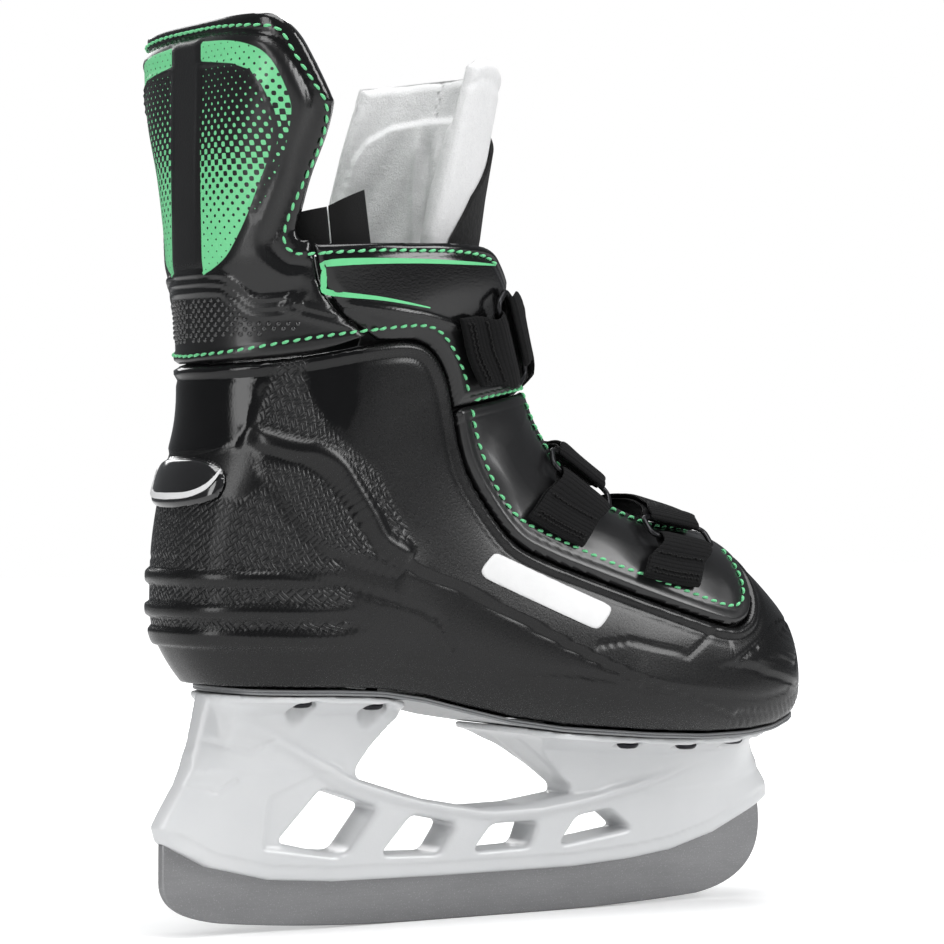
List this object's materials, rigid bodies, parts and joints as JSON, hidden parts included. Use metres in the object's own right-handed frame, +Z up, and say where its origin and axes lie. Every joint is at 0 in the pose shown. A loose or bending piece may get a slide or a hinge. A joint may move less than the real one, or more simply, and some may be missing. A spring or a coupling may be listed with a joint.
{
  "type": "ice skate",
  "caption": "Child's hockey ice skate: padded boot with tall tendon guard, felt tongue and hook-and-loop straps, on a white holder with a steel runner.",
  "frame": {"origin": "middle of the flat stretch of the runner's edge, where the skate stands on the ice", "axes": "+X to the toe, +Y to the inner side of the foot, +Z up"},
  "size_m": [0.2044, 0.079, 0.2438],
  "materials": {
    "runner_steel": "ground along its length, satin",
    "holder_plastic": "semi-gloss moulded white",
    "fastener_steel": "zinc plated",
    "rivet_steel": "blackened",
    "outsole_plastic": "satin light grey",
    "insole_foam": "brushed fabric over foam",
    "shell_composite": "satin black with a basket weave relief",
    "guard_plastic": "satin black with mint green print",
    "gloss_trim": "high-gloss black",
    "patent_leather": "padded patent, glossy, mint green stitching",
    "badge_plastic": "white trim plate",
    "lining_fabric": "brushed black knit",
    "tongue_felt": "thick white felt",
    "label_fabric": "plain woven tape",
    "webbing": "ribbed black webbing",
    "ring_steel": "black wire",
    "hook_tape": "black hook-and-loop tape"
  },
  "bodies": {
    "root": {"blade_runner": "runner_steel", "blade_holder": "holder_plastic", "runner_stud_rear": "fastener_steel", "runner_nut_rear": "fastener_steel", "runner_stud_front": "fastener_steel", "runner_nut_front": "fastener_steel", "holder_rivet_1": "rivet_steel", "holder_rivet_2": "rivet_steel", "holder_rivet_3": "rivet_steel", "holder_rivet_4": "rivet_steel", "holder_rivet_5": "rivet_steel", "holder_rivet_6": "rivet_steel", "holder_rivet_7": "rivet_steel", "holder_rivet_8": "rivet_steel", "holder_rivet_9": "rivet_steel", "holder_rivet_10": "rivet_steel", "outsole": "outsole_plastic", "insole": "insole_foam", "boot_shell": "shell_composite", "tendon_guard": "guard_plastic", "heel_insert": "gloss_trim", "cuff_lateral": "guard_plastic", "cuff_medial": "guard_plastic", "flap_lateral": "patent_leather", "flap_medial": "patent_leather", "side_badge_lateral": "badge_plastic", "side_badge_medial": "badge_plastic", "liner": "lining_fabric", "tongue_lower": "lining_fabric", "care_label": "label_fabric", "strap_top_anchor": "webbing", "strap_top_base": "webbing", "strap_mid_anchor": "webbing", "strap_mid_base": "webbing", "strap_toe_anchor": "webbing", "strap_toe_base": "webbing"},
    "tongue_top": {"tongue_upper": "tongue_felt", "tongue_facing": "lining_fabric"},
    "ring_top": {"strap_top_ring": "ring_steel"},
    "tail_top": {"strap_top_tail": "hook_tape"},
    "ring_mid": {"strap_mid_ring": "ring_steel"},
    "tail_mid": {"strap_mid_tail": "hook_tape"},
    "ring_toe": {"strap_toe_ring": "ring_steel"},
    "tail_toe": {"strap_toe_tail": "hook_tape"}
  },
  "joints": [
    {"name": "tongue_fold", "type": "hinge", "parent": "root", "child": "tongue_top", "pos_m": [-0.002, 0, 0.1879], "axis": [0, 1, 0], "range_deg": [0, 45]},
    {"name": "ring_top_tip", "type": "hinge", "parent": "root", "child": "ring_top", "pos_m": [-0.00919, -0.02911, 0.15822], "axis": [0.4689, 0.3756, -0.7994], "range_deg": [0, 15]},
    {"name": "tail_top_peel", "type": "hinge", "parent": "ring_top", "child": "tail_top", "pos_m": [-0.00327, -0.025, 0.16362], "axis": [0.4689, 0.3756, -0.7994], "range_deg": [0, 40]},
    {"name": "ring_mid_tip", "type": "hinge", "parent": "root", "child": "ring_mid", "pos_m": [0.01749, -0.02616, 0.1198], "axis": [0.8416, 0.0477, -0.538], "range_deg": [0, 15]},
    {"name": "tail_mid_peel", "type": "hinge", "parent": "ring_mid", "child": "tail_mid", "pos_m": [0.02072, -0.01991, 0.12542], "axis": [0.8416, 0.0477, -0.538], "range_deg": [0, 100]},
    {"name": "ring_toe_tip", "type": "hinge", "parent": "root", "child": "ring_toe", "pos_m": [0.04926, -0.02979, 0.10474], "axis": [0.9811, 0.0193, -0.1925], "range_deg": [0, 15]},
    {"name": "tail_toe_peel", "type": "hinge", "parent": "ring_toe", "child": "tail_toe", "pos_m": [0.05024, -0.0229, 0.11044], "axis": [0.9811, 0.0193, -0.1925], "range_deg": [0, 100]}
  ]
}
